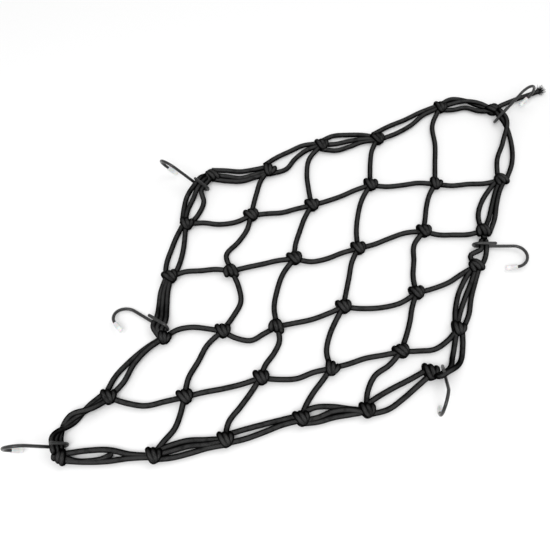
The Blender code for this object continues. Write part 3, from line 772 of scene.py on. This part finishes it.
def capSkin(tip, ahead):
    # a turned sleeve: bore floor, bore wall, lip, outside and a rounded tip. The lip's
    # radius is middle + half * cos a and its place lip * (1 - sin a), the tip's edge is
    # radius - rounding * (1 - cos b) and length - rounding * (1 - sin b)
    a = np.linspace(math.pi, 0, cap["lipRows"])
    b = np.linspace(0, math.pi / 2 * cap["tipTurn"], cap["tipRows"])
    middle, half = (cap["bore"] + cap["radius"]) / 2, (cap["radius"] - cap["bore"]) / 2
    radius = np.concatenate([cap["bore"] * np.array(cap["boreRings"]),
                             middle + half * np.cos(a),
                             np.full(len(cap["wallRings"]), cap["radius"]),
                             cap["radius"] - cap["rounding"] * (1 - np.cos(b))])
    bore = [cap["boreDepth"], cap["boreDepth"], cap["boreDepth"] - cap["boreCorner"]]
    distance = np.concatenate([bore, cap["lip"] * (1 - np.sin(a)), cap["wallRings"],
                               cap["length"] - cap["rounding"] * (1 - np.sin(b))])
    seat = tip + ahead * cap["gap"] * mm
    side = unit(np.cross(ahead, up))
    turn = np.arange(cap["sides"]) * 2 * math.pi / cap["sides"]
    ring = np.cos(turn)[:, None] * side + np.sin(turn)[:, None] * np.cross(ahead, side)
    grid = seat + distance[:, None, None] * mm * ahead + radius[:, None, None] * mm * ring
    return {"grid": grid, "along": distance, "closed": False, "litFacing": np.zeros(grid.shape[:2])}


braidFinish = makeBraid()
coatFinish = makeCoat()
sleeveFinish = makeSleeve()
print("finishes made")

skins = []
for (start, end), bow in meshCords.items():
    points = sidePoints(knotCentre(start), knotCentre(end), (0, *bow, 0), spanHeights())
    skins.append(sweptTube(smoothLine(points, cord["step"]), cord["radius"], cord["sides"]))
makePiece("mesh_cords", skins, braidFinish, ["net"])

skins = [sweptTube(rimLine(span, index), cord["radius"], cord["sides"])
         for span in rimSpans for index in range(len(rimSpans[span]))]
makePiece("rim_cords", skins, braidFinish, ["net"])

skins = [skin(name) for name in knots for skin in (earsSkin, wrapSkin)]
makePiece("knots", skins, braidFinish, ["net"])

# The cord's free end beyond the far right knot, and the short end by the near left one:
# the knot each leaves, and its places in the picture
looseEnds = {
    "tail": ("TR", [(502.0, 104.5), (517.0, 98.5), (534.0, 92.5), (537.5, 91.2)]),
    "stub": ("BL", [(76.0, 460.6), (91.0, 460.4), (102.0, 458.4), (110.0, 454.6)]),
}

skins = []
for knot, places in looseEnds.values():
    points = [knotCentre(knot)] + [floorPoint(*place, cord["height"]) for place in places]
    line, radii = domed(smoothLine(points, cord["step"]), cord["radius"])
    skins.append(sweptTube(line, radii, cord["sides"]))
makePiece("loose_ends", skins, braidFinish, ["net"])

fray = {
    "yarns": 64,
    "radius": 0.28 * mm,
    "tipRadius": 0.4,           # of the radius, at a yarn's tip
    "sides": 5,
    "rows": 7,
    "length": 8.5 * mm,
    "inside": 2.5 * mm,         # the yarns start this far inside the cord
    "section": 0.85,            # of the cord's radius, within which they start
    "shortest": 0.3,            # of the length
    "flare": 5.2 * mm,          # how far the shortest ones lean out
    "seed": 7,
}

# Frayed yarns: each leaves its place in the cord's section and leans out of it, as
# start + ahead * s * length + radial * lean * s squared, the short ones most
tailLine = [floorPoint(*place, cord["height"]) for place in looseEnds["tail"][1]]
tailTip, ahead = tailLine[-1], unit(tailLine[-1] - tailLine[-2])
sideways = np.cross(ahead, up)
draws = np.random.default_rng(fray["seed"])
s = np.linspace(0, 1, fray["rows"])[:, None]
taper = np.linspace(1, fray["tipRadius"], fray["rows"])
skins = []
for index in range(fray["yarns"]):
    angle, share = draws.uniform(0, 2 * math.pi), math.sqrt(draws.uniform(0, 1))
    part = draws.uniform(fray["shortest"], 1.0)
    radial = math.cos(angle) * sideways + math.sin(angle) * up
    length = fray["length"] * part
    lean = fray["flare"] * share * math.sqrt((1 - part) / (1 - fray["shortest"]))
    start = tailTip - ahead * fray["inside"] + radial * share * cord["radius"] * fray["section"]
    line = start + ahead * s * (length + fray["inside"]) + radial * lean * s**2
    line[:, 2] = np.maximum(line[:, 2], 2 * fray["radius"])
    skins.append(sweptTube(line, taper * fray["radius"], fray["sides"]))
makePiece("frayed_yarns", skins, braidFinish, ["net"])

for name, hook in hooks.items():
    line, radii, tip, ahead = hookWire(hook)
    makePiece("wire_" + name, [wireSkin(hook, line, radii)], coatFinish, ["hook_" + name])
    makePiece("sleeve_" + name, [capSkin(tip, ahead)], sleeveFinish, ["cap_" + name])

studio = {
    "floor": (0.86, 0.86, 0.86, 1.0),
    "size": 6.0,
    "below": 0.4 * mm,          # the floor lies this far below the net
    "world": 0.72,
    "key": {"place": (-0.25, -1.0, 1.45), "size": 1.1, "power": 17},
    "fill": {"place": (0.5, 0.4, 1.4), "size": 1.2, "power": 4},
}

floorFinish = Finish("pale_floor", {"Roughness": 0.9, "Specular IOR Level": 0.1,
                                    "Base Color": studio["floor"]})
half, level = studio["size"] / 2, -studio["below"]
corners = [(-half, -half, level), (half, -half, level), (half, half, level), (-half, half, level)]
floorMesh = bpy.data.meshes.new("floor")
floorMesh.from_pydata(corners, [], [(0, 1, 2, 3)])
floorMesh.materials.append(floorFinish.material)
floor = bpy.data.objects.new("floor", floorMesh)
bpy.context.scene.collection.objects.link(floor)

world = bpy.data.worlds.new("studio_world")
world.use_nodes = True
world.node_tree.nodes["Background"].inputs["Color"].default_value = (1, 1, 1, 1)
world.node_tree.nodes["Background"].inputs["Strength"].default_value = studio["world"]
bpy.context.scene.world = world
for name in ("key", "fill"):
    light = bpy.data.lights.new(name, "AREA")
    light.shape = "DISK"
    light.size = studio[name]["size"]
    light.energy = studio[name]["power"]
    lamp = bpy.data.objects.new(name, light)
    lamp.location = studio[name]["place"]
    x, y, z = -np.array(studio[name]["place"])  # towards the net's middle
    lamp.rotation_euler = (math.atan2(math.hypot(x, y), -z), 0, math.atan2(x, -y) + math.pi)
    bpy.context.scene.collection.objects.link(lamp)
bpy.context.scene.view_settings.view_transform = "Standard"
print("floor and light set")
